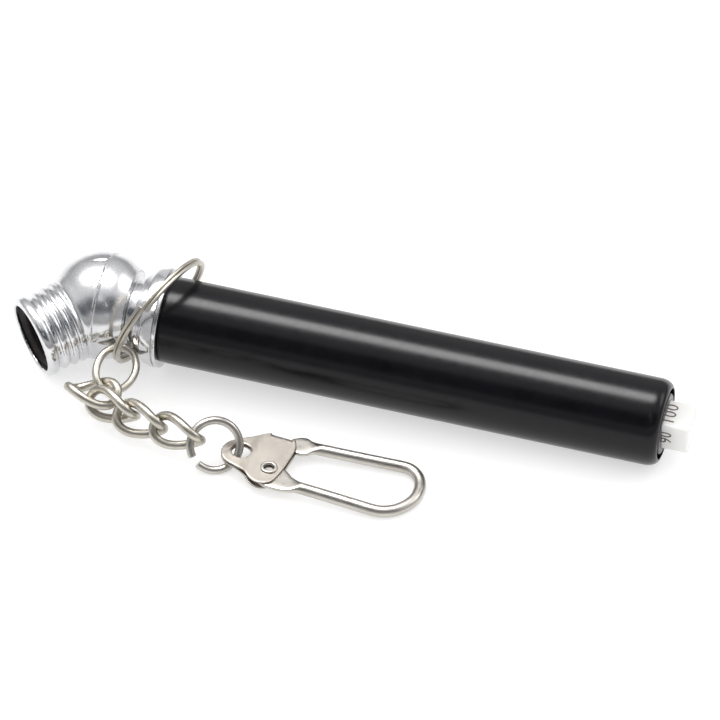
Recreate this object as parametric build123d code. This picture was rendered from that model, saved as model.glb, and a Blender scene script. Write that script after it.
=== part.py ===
from build123d import *
import math
import os

os.makedirs("parts", exist_ok=True)

# ---------------------------------------------------------------- driving dimensions (mm)
OFF_X, OFF_Y, OFF_Z = -37.3746, 7.647, 0.058      # puts the bounding box's bottom centre on the frame origin

# head casting
BALL_R = 7.75                    # ball of the head, resting on the table
RIB_X, RIB_W, RIB_H = 0.6, 0.55, 0.20
NECK_X0, NECK_X1, NECK_R = 4.6, 6.0, 4.4     # groove the split ring sits in
EASE_X, EASE_R = 3.5, 6.05         # ball eased towards the neck so the rings can swing
COLLAR_X1, COLLAR_R = 9.3, 7.25
FLAT_APOTHEM = 6.86              # eight wrench flats
LIP_X1, LIP_R = 9.9, 7.15
SPIGOT_X1, SPIGOT_R = 16.4, 5.45
AIR_R = 1.0

# angled chuck
CHUCK_SWEEP, CHUCK_DIP = 45.0, 12.0          # degrees off the barrel axis, and down
MOUTH_T = 11.66
MOUTH_R = 5.05
LIP_OUT_R = 6.08
CAVITY_T0 = 4.4
POCKET_T0, POCKET_R = 3.5, 2.5
LINER_R_IN, LINER_T0, LINER_T1 = 4.1, 6.4, 10.9
SEAL_T0, SEAL_T1, SEAL_R_IN = 4.45, 6.35, 1.6
PIN_R, PIN_T1, PIN_FLANGE_R = 0.6, 6.4, 2.4

# barrel
TUBE_OR, TUBE_IR = 6.25, 5.5
TUBE_X0, TUBE_X1 = 9.98, 83.15
OPENING_R, ROLL_R, ROLL_X = 5.1, 1.12, 1.9

# gauge works
CUP_X0, CUP_X1 = 17.0, 19.3
PISTON_X0, PISTON_X1 = 19.35, 23.2
BOSS_R, BOSS_X1 = 1.25, 31.0
BAR_W, BAR_X0, BAR_X1, BAR_BORE_R = 5.0, 23.3, 87.0, 1.45
BAR_ROLL = 7.0                   # bar turned about its own axis, degrees
SPRING_R, SPRING_WIRE_R, SPRING_X0, SPRING_X1, SPRING_TURNS = 4.45, 0.45, 23.8, 72.2, 12
BUSH_X0, BUSH_X1, BUSH_R, BUSH_HOLE = 74.0, 82.0, 5.44, 5.22
BOSS_END_X1, BOSS_END_R = 83.2, 4.35       # boss round the bar, level with the rim
SEAT_X0, SEAT_X1 = 72.75, 73.9
TRAVEL = 33.0

# rings and chain
SPLIT_W, SPLIT_T, SPLIT_PITCH = 0.50, 0.84, 0.53
CLIP_LEAF, CLIP_GAP = 0.30, 0.76
GATE_R = 0.85
GAP_AT, GAP_DEG = math.radians(218.0), 22.0  # where the open jump ring's gap sits
SPLIT_START = 0.0                # where the split ring's outer turn ends
HOLE_R = 1.42
RIVET_X, RIVET_Y, RIVET_R, RIVET_BORE_R, RIVET_FLANGE_R = 4.88, -2.01, 0.85, 0.55, 1.25
FLAT_T = 0.66                    # hammered ends of the wire loop
PINCH = 0.45                     # half thickness where the leaves are pressed together

# resting pose of each loose piece: centre, long direction, normal
POSES = {
    "split": ((8.4908, -0.2941, 9.1000), (0.4574, 0.4696, 0.7552), (-0.8858, 0.3150, 0.3407)),
    "ringA": ((5.1280, -10.1897, 5.5849), (0.2047, 0.9627, 0.1770), (0.4564, -0.2538, 0.8528)),
    "l1": ((3.1998, -14.6695, 4.7735), (0.9957, -0.0577, 0.0729), (0.0645, -0.1363, -0.9886)),
    "l2": ((6.6870, -16.4895, 4.3081), (0.9792, -0.2031, -0.0035), (0.2030, 0.9791, -0.0120)),
    "l3": ((11.2744, -18.0426, 4.3057), (0.9836, -0.1751, 0.0442), (0.1803, 0.9659, -0.1857)),
    "l4": ((17.1311, -19.1628, 4.4438), (0.9893, -0.1419, 0.0333), (-0.1439, -0.9873, 0.0676)),
    "ringB": ((22.6396, -19.0315, 3.3554), (0.9109, 0.3934, -0.1246), (0.3853, -0.7028, 0.5980)),
    "clip": ((26.2764, -18.2554, 2.2500), (0.9967, -0.0590, -0.0550), (0.0549, -0.0033, 0.9985)),
}
SPLIT_R = 9.064
RING_A, RING_B, RING_EGG, RING_WIRE = 3.823, 2.705, 0.047, 0.55
CURB_A, CURB_B, CURB_TWIST, CURB_WIRE = 3.684, 2.278, 0.751, 0.65
JUMP_R, JUMP_WIRE, JUMP_SKEW = 3.535, 0.58, 0.0

TILT = math.degrees(math.asin((BALL_R - TUBE_OR) / 82.0))


def table(shape):
    """Gauge frame (ball centre, +X along the barrel) to the part's frame on the table."""
    return Pos(OFF_X, OFF_Y, OFF_Z + BALL_R) * Rot(0, TILT, 0) * shape


def save(shape, node):
    solids = shape.solids()
    out = solids[0] if len(solids) == 1 else Compound(children=list(solids))
    out.label = node
    export_step(out, "parts/" + node + ".step")
    print(node, len(solids), round(sum(s.volume for s in solids), 3))


def rev(points, axis=Axis.X):
    """Solid of revolution about X from a closed list of (x, r)."""
    wire = Wire.make_polygon([Vector(x, r, 0) for x, r in points], close=True)
    return revolve(Face(wire), axis)


def disc(x0, x1, r, r_in=0.0):
    body = Pos((x0 + x1) / 2, 0, 0) * Rot(0, 90, 0) * Cylinder(r, x1 - x0)
    if r_in:
        body -= Pos((x0 + x1) / 2, 0, 0) * Rot(0, 90, 0) * Cylinder(r_in, x1 - x0 + 2)
    return body


def ring_x(x, major, minor):
    return Pos(x, 0, 0) * Rot(0, 90, 0) * Torus(major, minor)


def closed_wire(points, r):
    """Round wire bent round a closed loop."""
    path = Edge.make_spline([Vector(*p) for p in points], periodic=True)
    return sweep(Plane(origin=path @ 0, z_dir=path % 0) * Circle(r), path=path, is_frenet=False)


def curb_points(a, b, twist, n=24, power=2.3):
    pts = []
    for k in range(n):
        t = 2 * math.pi * k / n
        c, s = math.cos(t), math.sin(t)
        x = a * math.copysign(abs(c) ** (2 / power), c)
        y = b * math.copysign(abs(s) ** (2 / power), s)
        f = twist * x / a
        pts.append((x, y * math.cos(f), y * math.sin(f)))
    return pts


def bent_wire(points, r):
    """Same, for a loop that leaves its plane: two halves that meet end to end."""
    ring = Edge.make_spline([Vector(*p) for p in points], periodic=True)
    halves = [ring.trim(0, 0.5), ring.trim(0.5, 1)]
    s1, s2 = [sweep(Plane(origin=e @ 0, z_dir=e % 0) * Circle(r), path=e) for e in halves]
    return s1 + s2


def egg_points(a, b, egg, n=24):
    return [(a * math.cos(2 * math.pi * k / n), b * math.sin(2 * math.pi * k / n) * (1 + egg * math.cos(2 * math.pi * k / n)), 0)
            for k in range(n)]


# chuck axis in the gauge frame; the chuck is modelled along +X and turned into place
_s, _d = math.radians(CHUCK_SWEEP), math.radians(CHUCK_DIP)
CHUCK_DIR = Vector(-math.cos(_s), -math.sin(_s) * math.cos(_d), -math.sin(_s) * math.sin(_d))
CHUCK_AT = Plane(origin=(0, 0, 0), x_dir=CHUCK_DIR, z_dir=CHUCK_DIR.cross(Vector(0, 0, 1)).cross(CHUCK_DIR)).location

# ---------------------------------------------------------------- head casting
_a, _b, _r = RIB_X - RIB_W / 2, RIB_X + RIB_W / 2, BALL_R + RIB_H


def on_ball(x):
    return Vector(x, math.sqrt(BALL_R ** 2 - x ** 2), 0)


_line = [on_ball(_a), (_a, _r - 0.12), (_a + 0.12, _r), (_b - 0.12, _r), (_b, _r - 0.12), on_ball(_b)]
_tail = [on_ball(EASE_X), (NECK_X0, EASE_R), (NECK_X0, NECK_R), (NECK_X1, NECK_R), (NECK_X1, 5.3), (6.1, 5.7), (6.25, 5.95), (6.6, 6.16), (6.8, 6.28),
         (7.0, 6.42), (7.2, 6.6), (7.4, 6.78), (7.6, 6.9), (7.9, 6.98), (8.3, 7.08), (8.8, COLLAR_R), (COLLAR_X1, COLLAR_R), (COLLAR_X1, 6.9), (COLLAR_X1 + 0.12, LIP_R - 0.02), (COLLAR_X1 + 0.2, LIP_R),
         (LIP_X1 - 0.15, LIP_R), (LIP_X1, LIP_R - 0.2), (LIP_X1, SPIGOT_R), (12.0, SPIGOT_R), (12.0, 4.42), (13.2, 4.42), (13.2, SPIGOT_R),
         (SPIGOT_X1 - 0.4, SPIGOT_R), (SPIGOT_X1, SPIGOT_R - 0.4), (SPIGOT_X1, 0), (-BALL_R, 0)]


def chain_of(points):
    pts = [p if isinstance(p, Vector) else Vector(p[0], p[1], 0) for p in points]
    return [Edge.make_line(p, q) for p, q in zip(pts, pts[1:])]


profile = [Edge.make_three_point_arc(Vector(-BALL_R, 0, 0), on_ball(-5.2), on_ball(_a))] + chain_of(_line) \
    + [Edge.make_three_point_arc(on_ball(_b), on_ball(2.4), on_ball(EASE_X))] + chain_of(_tail)
body = revolve(make_face(profile), Axis.X)
# eight flats on the collar
flats = Pos((NECK_X1 + COLLAR_X1) / 2, 0, 0) * Rot(0, 90, 0) * (Cylinder(9, COLLAR_X1 - NECK_X1)
                                                         - extrude(Rot(0, 0, 22.5) * RegularPolygon(FLAT_APOTHEM, 8, major_radius=False), 4, both=True))
body -= flats
# shallow sprue mark on top of the ball
body -= Pos(-0.9, 1.0, BALL_R + 0.05) * Rot(0, 0, 20) * Box(2.2, 0.5, 0.5)

chuck = rev([(0, 0), (0, 6.2), (4.2, 6.25), (4.9, 6.05), (5.15, 5.75), (5.4, 5.75), (5.65, 6.0), (6.15, 6.05), (6.4, 5.65), (6.7, 5.6),
             (6.95, 5.95), (7.5, 5.98), (7.75, 5.55), (8.15, 5.5), (8.4, 5.85), (8.95, 5.88), (9.2, 5.5), (9.75, 5.45),
             (10.0, 5.6), (10.15, 5.9), (10.45, LIP_OUT_R), (11.1, LIP_OUT_R), (11.5, 5.85), (MOUTH_T, 5.5),
             (MOUTH_T, 0)])
cavity = disc(CAVITY_T0, MOUTH_T + 2, MOUTH_R) + disc(POCKET_T0, CAVITY_T0 + 0.1, POCKET_R) + disc(0, POCKET_T0 + 0.1, AIR_R)
cavity += rev([(11.2, 0), (11.2, MOUTH_R), (MOUTH_T + 0.1, MOUTH_R + 0.35), (MOUTH_T + 0.1, 0)])
head = body + CHUCK_AT * chuck
head -= CHUCK_AT * cavity
head -= disc(0, SPIGOT_X1 + 1, AIR_R)
head -= disc(SPIGOT_X1 - 1.2, SPIGOT_X1 + 1, 3.6)
placed = table(head)
placed -= Pos(OFF_X, OFF_Y, -4.99) * Box(60, 60, 10)     # the rib is rubbed flat where the ball rests
save(placed, "head_casting")

# ---------------------------------------------------------------- chuck fittings
liner = rev([(LINER_T0, LINER_R_IN), (LINER_T0, MOUTH_R - 0.05), (LINER_T1, MOUTH_R - 0.05), (LINER_T1, LINER_R_IN + 0.35),
             (LINER_T1 - 0.4, LINER_R_IN)])
save(table(CHUCK_AT * liner), "chuck_liner")
seal = disc(SEAL_T0, SEAL_T1, MOUTH_R - 0.05, SEAL_R_IN)
seal -= rev([(SEAL_T1 - 0.7, 0), (SEAL_T1 - 0.7, SEAL_R_IN), (SEAL_T1 + 0.1, SEAL_R_IN + 1.1), (SEAL_T1 + 0.1, 0)])
save(table(CHUCK_AT * seal), "chuck_seal")
pin = disc(POCKET_T0 + 0.03, CAVITY_T0, PIN_FLANGE_R) + disc(CAVITY_T0 - 0.1, PIN_T1, PIN_R)
for k in range(3):
    pin -= Rot(120 * k, 0, 0) * Pos(POCKET_T0 + 0.5, 1.45, 0) * Rot(0, 90, 0) * Cylinder(0.5, 3)
save(table(CHUCK_AT * pin), "valve_pin")

# ---------------------------------------------------------------- barrel
tube = rev([(TUBE_X0, TUBE_IR), (TUBE_X0, TUBE_OR - 0.25), (TUBE_X0 + 0.25, TUBE_OR)]
           + [(TUBE_X1 - ROLL_X + ROLL_X * math.sin(math.radians(a)), TUBE_OR - ROLL_R + ROLL_R * math.cos(math.radians(a)))
              for a in range(0, 91, 15)]
           + [(TUBE_X1 - 0.3, OPENING_R), (TUBE_X1 - 1.05, OPENING_R), (TUBE_X1 - 1.05, TUBE_IR)])
save(table(tube), "barrel_tube")
save(table(ring_x(12.6, 4.95, 0.5)), "spigot_oring")

# ---------------------------------------------------------------- gauge works
cup = rev([(CUP_X0, 4.5), (CUP_X0, 5.47), (CUP_X1 - 0.3, 5.4), (CUP_X1, 5.1), (CUP_X1, 1.3), (CUP_X1 - 0.9, 1.3), (CUP_X1 - 0.9, 4.2)])
save(table(cup), "piston_cup")
piston = rev([(CUP_X0 + 0.6, 0), (CUP_X0 + 0.6, 2.2), (CUP_X1 - 0.92, 2.2), (CUP_X1 - 0.92, 1.25), (PISTON_X0, 1.25), (PISTON_X0, 5.4),
              (PISTON_X0 + 1.6, 5.4), (PISTON_X0 + 1.8, 5.2), (PISTON_X1, 5.2), (PISTON_X1, BOSS_R), (BOSS_X1 - 0.3, BOSS_R),
              (BOSS_X1, BOSS_R - 0.3), (BOSS_X1, 0)])
save(table(piston), "piston")

bar = Pos((BAR_X0 + BAR_X1) / 2, 0, 0) * Box(BAR_X1 - BAR_X0, BAR_W, BAR_W)
bar = chamfer(bar.edges().filter_by(Axis.X), 0.25)
bar = chamfer(bar.faces().sort_by(Axis.X)[-1].edges(), 0.2)
bar -= disc(BAR_X0 - 1, 60.0, BAR_BORE_R)
# moulded scale notches along one corner
for k in range(9):
    bar -= Pos(40.0 + 5 * k, BAR_W / 2, BAR_W / 2) * Rot(45, 0, 0) * Box(0.35, 1.0, 0.55)
save(table(Rot(BAR_ROLL, 0, 0) * bar), "indicator_bar")

_h = Helix(pitch=(SPRING_X1 - SPRING_X0) / SPRING_TURNS, height=SPRING_X1 - SPRING_X0, radius=SPRING_R)
_p = Plane(origin=_h @ 0, z_dir=_h % 0)
spring = sweep(_p * Circle(SPRING_WIRE_R), path=_h, is_frenet=True)
save(table(Pos(SPRING_X0, 0, 0) * Rot(0, 90, 0) * spring), "spring")

seat = disc(SEAT_X0, SEAT_X1, BUSH_R, 3.75)
save(table(seat), "spring_seat")
bush = rev([(BUSH_X0, 0), (BUSH_X0, BUSH_R - 0.3), (BUSH_X0 + 0.3, BUSH_R), (BUSH_X1, BUSH_R), (BUSH_X1, BOSS_END_R),
            (BOSS_END_X1 - 0.15, BOSS_END_R), (BOSS_END_X1, BOSS_END_R - 0.15), (BOSS_END_X1, 0)])
bush -= Rot(BAR_ROLL, 0, 0) * Pos((BUSH_X0 + BOSS_END_X1) / 2, 0, 0) * Box(12, BUSH_HOLE, BUSH_HOLE)
# pocket for the friction pad that keeps the bar where it stopped
bush -= Rot(BAR_ROLL, 0, 0) * Pos(77.5, 0, -BUSH_HOLE / 2 - 0.5) * Box(3.1, 3.1, 1.2)
save(table(bush), "end_bush")
pad = Rot(BAR_ROLL, 0, 0) * Pos(77.5, 0, -BAR_W / 2 - 0.07 - 0.5) * Box(3.0, 3.0, 1.0)
save(table(pad), "friction_pad")

# ---------------------------------------------------------------- rings and chain
def floor_frame(shape):
    return Pos(OFF_X, OFF_Y, OFF_Z) * shape


def seat_at(key):
    o, xd, zd = POSES[key]
    return Plane(origin=Vector(*o), x_dir=Vector(*xd), z_dir=Vector(*zd)).location


# split ring: two touching turns of flat wire
_h = Helix(pitch=SPLIT_PITCH, height=2 * SPLIT_PITCH, radius=SPLIT_R)
_p = Plane(origin=_h @ 0, z_dir=_h % 0, x_dir=(0, 0, 1))
split = sweep(_p * RectangleRounded(SPLIT_W, SPLIT_T, 0.18), path=_h, is_frenet=True)
split = Pos(0, 0, -SPLIT_PITCH) * split
save(floor_frame(seat_at("split") * Rot(0, 0, SPLIT_START) * split), "split_ring")

save(floor_frame(seat_at("ringA") * closed_wire(egg_points(RING_A, RING_B, RING_EGG), RING_WIRE)), "jump_ring_oval")
for k in (1, 2, 3, 4):
    save(floor_frame(seat_at("l%d" % k) * bent_wire(curb_points(CURB_A, CURB_B, CURB_TWIST), CURB_WIRE)), "curb_link_%d" % k)

# open jump ring: round wire, a gap of a wire's width, ends a little out of line
_n = 40
_g = math.radians(GAP_DEG)
_pts = []
for k in range(_n + 1):
    t = GAP_AT + _g / 2 + (2 * math.pi - _g) * k / _n
    _pts.append(Vector(JUMP_R * math.cos(t), JUMP_R * math.sin(t), JUMP_SKEW * (k / _n - 0.5)))
_e = Edge.make_spline(_pts)
save(floor_frame(seat_at("ringB") * sweep(Plane(origin=_e @ 0, z_dir=_e % 0) * Circle(JUMP_WIRE), path=_e)), "jump_ring_open")

# ---------------------------------------------------------------- snap clip (frame: hole centre, +X to the loop's end)
outline = [(-2.75, -0.6), (-2.6, 0.35), (-2.1, 1.3), (-0.8, 2.4), (0.8, 3.46), (2.5, 4.55), (3.0, 4.8), (6.05, 4.78), (6.66, 4.18),
           (7.08, 2.7), (6.77, -1.34), (6.49, -2.95), (6.25, -3.95), (5.8, -4.65), (4.77, -5.2), (3.71, -5.18), (2.71, -4.66),
           (1.62, -3.65), (0.07, -3.08), (-1.42, -2.62), (-2.35, -1.75)]
PINCHED = [(-2.75, -0.6), (-2.6, 0.35), (-2.1, 1.3), (-0.8, 2.4), (0.8, 3.46), (2.0, 4.22), (2.0, -4.0), (1.62, -3.65), (0.07, -3.08), (-1.42, -2.62), (-2.35, -1.75)]
T2 = CLIP_LEAF + CLIP_GAP / 2
leafs = Pos(0, 0, -T2) * extrude(make_face(Polyline(*outline, close=True)), 2 * T2)
gap_cut = [(-5, -9), (12, -9), (12, 6), (6.1, 6), (6.1, 4.41), (3.1, 4.45), (0.95, 3.12), (0.6, 6), (-5, 6)]
leafs -= Pos(0, 0, -CLIP_GAP / 2) * extrude(make_face(Polyline(*gap_cut, close=True)), CLIP_GAP)
for side in (1, -1):
    leafs -= Pos(-1.5, 0, side * (PINCH + 1)) * Box(7.0, 20, 2)
leafs += Pos(0, 0, -PINCH) * extrude(make_face(Polyline(*PINCHED, close=True)), 2 * PINCH)
leafs -= Cylinder(HOLE_R, 6)
leafs -= Pos(RIVET_X, RIVET_Y, 0) * Cylinder(RIVET_R + 0.02, 6)
save(floor_frame(seat_at("clip") * leafs), "clip_plate")

rivet = Cylinder(RIVET_R, 2 * T2 + 0.3) + Pos(0, 0, T2 + 0.14) * Cylinder(RIVET_FLANGE_R, 0.24) + Pos(0, 0, -T2 - 0.14) * Cylinder(RIVET_FLANGE_R, 0.24)
rivet = fillet(rivet.edges().filter_by(GeomType.CIRCLE).group_by(Axis.Z)[-1].sort_by(SortBy.RADIUS)[-1], 0.1)
rivet -= Cylinder(RIVET_BORE_R, 6)
save(floor_frame(seat_at("clip") * Pos(RIVET_X, RIVET_Y, 0) * rivet), "clip_rivet")

# round wire loop, ends hammered flat; the lower end turns on the rivet
low = (9.0, -3.5)
p_low1, p_low2 = Vector(9.0, -3.5, 0), Vector(20.9, -3.65, 0)
p_up1, p_up2 = Vector(21.9, 6.0, 0), Vector(9.1, 4.65, 0)
line1 = Edge.make_line(p_low1, p_low2)
line2 = Edge.make_line(p_up1, p_up2)
bend = Edge.make_spline([p_low2, Vector(24.35, -1.95, 0), Vector(25.72, 1.35, 0), Vector(24.85, 4.75, 0), p_up1],
                        tangents=[p_low2 - p_low1, p_up2 - p_up1])
path = Wire([line1, bend, line2])
loop = sweep(Plane(origin=p_low1, z_dir=p_low2 - p_low1) * Circle(GATE_R), path=path)
low_pad = make_face(Polyline((3.35, -1.4), (4.1, -0.55), (5.5, -0.45), (7.38, -1.7), (9.5, -2.75), (10.6, -3.1), (10.6, -3.95), (9.4, -4.25),
                             (8.08, -5.1), (7.0, -5.4), (5.6, -5.2), (4.2, -4.2), (3.3, -2.8), close=True))
up_pad = make_face(Polyline((6.35, 3.3), (6.5, 5.0), (7.45, 6.0), (8.85, 5.6), (10.6, 5.25), (10.6, 4.4), (8.9, 3.9), (7.75, 2.65), (7.15, 2.7), close=True))
gate = loop + Pos(0, 0, -FLAT_T / 2) * extrude(low_pad, FLAT_T) + Pos(0, 0, -FLAT_T / 2) * extrude(up_pad, FLAT_T)
gate += Plane(origin=p_low1 + Vector(0, 0, 0), z_dir=p_low1 - p_low2).location * Pos(0, 0, 0.6) * Cone(GATE_R, 0.33, 1.2)
gate += Plane(origin=p_up2, z_dir=p_up2 - p_up1).location * Pos(0, 0, 0.6) * Cone(GATE_R, 0.33, 1.2)
gate -= Pos(RIVET_X, RIVET_Y, 0) * Cylinder(RIVET_R + 0.04, 6)
save(floor_frame(seat_at("clip") * gate), "clip_gate")
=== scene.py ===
import bpy
import bmesh
import math
import numpy as np
from mathutils import Vector, Matrix


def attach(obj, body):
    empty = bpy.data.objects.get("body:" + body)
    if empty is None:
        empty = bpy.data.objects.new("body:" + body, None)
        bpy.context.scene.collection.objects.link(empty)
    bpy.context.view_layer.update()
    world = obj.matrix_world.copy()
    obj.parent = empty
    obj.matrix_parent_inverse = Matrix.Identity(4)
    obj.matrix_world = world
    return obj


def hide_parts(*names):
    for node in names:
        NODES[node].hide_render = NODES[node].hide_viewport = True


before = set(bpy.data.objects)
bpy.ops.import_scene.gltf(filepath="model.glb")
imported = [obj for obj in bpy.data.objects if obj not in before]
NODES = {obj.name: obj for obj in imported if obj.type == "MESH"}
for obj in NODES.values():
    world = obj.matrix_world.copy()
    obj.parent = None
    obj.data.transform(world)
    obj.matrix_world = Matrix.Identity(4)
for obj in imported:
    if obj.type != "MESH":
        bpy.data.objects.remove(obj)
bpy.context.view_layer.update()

# ------------------------------------------------------------------ dimensions, mm, as in the CAD
OFF = np.array([-37.3746, 7.647, 0.058])
BALL_R = 7.75
TILT = math.asin((7.75 - 6.25) / 82.0)
RIB_X = 0.6
POSES = {
    "split": ((8.4908, -0.2941, 9.1000), (0.4574, 0.4696, 0.7552), (-0.8858, 0.3150, 0.3407)),
    "ringA": ((5.1280, -10.1897, 5.5849), (0.2047, 0.9627, 0.1770), (0.4564, -0.2538, 0.8528)),
    "l1": ((3.1998, -14.6695, 4.7735), (0.9957, -0.0577, 0.0729), (0.0645, -0.1363, -0.9886)),
    "l2": ((6.6870, -16.4895, 4.3081), (0.9792, -0.2031, -0.0035), (0.2030, 0.9791, -0.0120)),
    "l3": ((11.2744, -18.0426, 4.3057), (0.9836, -0.1751, 0.0442), (0.1803, 0.9659, -0.1857)),
    "l4": ((17.1311, -19.1628, 4.4438), (0.9893, -0.1419, 0.0333), (-0.1439, -0.9873, 0.0676)),
    "ringB": ((22.6396, -19.0315, 3.3554), (0.9109, 0.3934, -0.1246), (0.3853, -0.7028, 0.5980)),
    "clip": ((26.2764, -18.2554, 2.2500), (0.9967, -0.0590, -0.0550), (0.0549, -0.0033, 0.9985)),
}
SPLIT_R, SPLIT_W, SPLIT_T, SPLIT_PITCH, SPLIT_START = 9.064, 0.54, 0.80, 0.56, math.radians(279)
RING_A, RING_B, RING_EGG, RING_WIRE = 3.823, 2.705, 0.047, 0.55
CURB_A, CURB_B, CURB_TWIST, CURB_WIRE, CURB_POWER = 3.684, 2.278, 0.751, 0.65, 2.3
JUMP_R, JUMP_WIRE = 3.535, 0.58
GAP_AT, GAP_DEG = math.radians(218.0), 22.0
BAR_ROLL = math.radians(7.0)
LEAF, CLIP_GAP = 0.30, 0.76
T2 = LEAF + CLIP_GAP / 2


# ------------------------------------------------------------------ frames
def frame_of(o, x, z=None, y=None):
    x = np.array(x, float); x /= np.linalg.norm(x)
    z = np.array(z, float); z -= x * (z @ x); z /= np.linalg.norm(z)
    m = np.eye(4)
    m[:3, 0], m[:3, 1], m[:3, 2], m[:3, 3] = x, np.cross(z, x), z, o
    return m


def shift(x, y, z):
    m = np.eye(4); m[:3, 3] = (x, y, z)
    return m


def turn(axis, a):
    c, s = math.cos(a), math.sin(a)
    i, j = {"x": (1, 2), "y": (2, 0), "z": (0, 1)}[axis]
    m = np.eye(4); m[i, i] = m[j, j] = c; m[i, j] = -s; m[j, i] = s
    return m


GAUGE = shift(OFF[0], OFF[1], OFF[2] + BALL_R) @ turn("y", TILT)
_s, _d = math.radians(45.0), math.radians(12.0)
CD = np.array([-math.cos(_s), -math.sin(_s) * math.cos(_d), -math.sin(_s) * math.sin(_d)])
_z = np.cross(np.cross(CD, [0, 0, 1]), CD)
CHUCK_IN = frame_of((0, 0, 0), CD, _z)
CHUCK = GAUGE @ CHUCK_IN


def seat(key):
    o, x, z = POSES[key]
    return shift(*OFF) @ frame_of(o, x, z)


def put(m, p):
    p = np.asarray(p, float)
    return p @ m[:3, :3].T + m[:3, 3]


# ------------------------------------------------------------------ mesh builders (mm in, metres out)
def build(name, verts, faces, mat, body, stands_for=(), sharp=35.0, normals=None, mats=None, face_mats=None):
    me = bpy.data.meshes.new(name)
    me.from_pydata([tuple(v) for v in np.asarray(verts) * 0.001], [], [tuple(int(i) for i in f) for f in faces])
    bm = bmesh.new(); bm.from_mesh(me)
    if normals is None:
        bmesh.ops.remove_doubles(bm, verts=bm.verts, dist=1e-8)
        bmesh.ops.dissolve_degenerate(bm, edges=bm.edges, dist=1e-9)
        bmesh.ops.recalc_face_normals(bm, faces=bm.faces)
    bm.to_mesh(me); bm.free()
    me.shade_smooth()
    if normals is not None:
        me.normals_split_custom_set_from_vertices([tuple(n) for n in normals])
    elif sharp:
        me.set_sharp_from_angle(angle=math.radians(sharp))
    ob = bpy.data.objects.new(name, me)
    bpy.context.scene.collection.objects.link(ob)
    me.materials.append(mat)
    for m in mats or ():
        me.materials.append(m)
    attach(ob, body)
    if stands_for:
        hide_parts(*([stands_for] if isinstance(stands_for, str) else stands_for))
    return ob


def merge(*parts):
    verts, faces, n = [], [], 0
    for v, f in parts:
        v = np.asarray(v, float)
        verts.append(v)
        faces += [[i + n for i in q] for q in f]
        n += len(v)
    return np.vstack(verts), faces


def fillet(points, steps=6):
    """Closed outline with each corner (x, y, radius) rounded."""
    out, n = [], len(points)
    for k in range(n):
        x, y = points[k][:2]
        r = points[k][2] if len(points[k]) > 2 else 0
        if r <= 0:
            out.append((x, y)); continue
        p, a, b = np.array([x, y], float), np.array(points[k - 1][:2], float), np.array(points[(k + 1) % n][:2], float)
        u, v = a - p, b - p
        lu, lv = np.linalg.norm(u), np.linalg.norm(v)
        u, v = u / lu, v / lv
        half = 0.5 * math.acos(max(-1, min(1, float(u @ v))))
        t = min(r / math.tan(half), 0.49 * lu, 0.49 * lv)
        rr = t * math.tan(half)
        w = u + v; w /= np.linalg.norm(w)
        c = p + w * rr / math.sin(half)
        s0, s1 = p + u * t - c, p + v * t - c
        ang = math.acos(max(-1, min(1, float(s0 @ s1) / rr / rr)))
        for i in range(steps + 1):
            f = i / steps
            q = (s0 * math.sin((1 - f) * ang) + s1 * math.sin(f * ang)) / math.sin(ang) if ang > 1e-6 else s0
            out.append(tuple(c + q))
    return out


def lathe(points, seg=160, radius_at=None):
    """Closed outline (x, r) turned about X. radius_at(x, angle, r) can change a radius."""
    n = len(points)
    ang = np.arange(seg) * 2 * math.pi / seg
    verts = np.zeros((seg, n, 3))
    for k, (x, r) in enumerate(points):
        rr = np.full(seg, r) if radius_at is None else np.array([radius_at(x, a, r) for a in ang])
        verts[:, k] = np.stack([np.full(seg, x), rr * np.cos(ang), rr * np.sin(ang)], 1)
    faces = []
    for s in range(seg):
        t = (s + 1) % seg
        for k in range(n):
            q = (k + 1) % n
            if points[k][1] < 1e-9 and points[q][1] < 1e-9:
                continue
            faces.append([s * n + k, t * n + k, t * n + q, s * n + q])
    return verts.reshape(-1, 3), faces


def frames_along(path, closed, up=None):
    path = np.asarray(path, float)
    if closed:
        tan = np.roll(path, -1, 0) - np.roll(path, 1, 0)
    else:
        tan = np.gradient(path, axis=0)
    tan /= np.linalg.norm(tan, axis=1)[:, None]
    if up is not None:
        nor = np.asarray(up, float) * np.ones_like(path)
        nor = nor - tan * (nor * tan).sum(1)[:, None]
        nor /= np.linalg.norm(nor, axis=1)[:, None]
        return tan, nor, np.cross(tan, nor)
    a = np.array([0, 0, 1.0]) if abs(tan[0][2]) < 0.9 else np.array([1.0, 0, 0])
    n0 = a - tan[0] * (a @ tan[0]); n0 /= np.linalg.norm(n0)
    nor = [n0]
    for k in range(1, len(path)):
        v = nor[-1] - tan[k] * (nor[-1] @ tan[k])
        nor.append(v / np.linalg.norm(v))
    nor = np.array(nor)
    if closed:                                    # spread the leftover twist
        v = nor[-1] - tan[0] * (nor[-1] @ tan[0]); v /= np.linalg.norm(v)
        ang = math.atan2(np.cross(v, nor[0]) @ tan[0], v @ nor[0])
        bi = np.cross(tan, nor)
        f = ang * np.arange(len(path)) / len(path)
        nor = nor * np.cos(f)[:, None] + bi * np.sin(f)[:, None]
    return tan, nor, np.cross(tan, nor)


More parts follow.
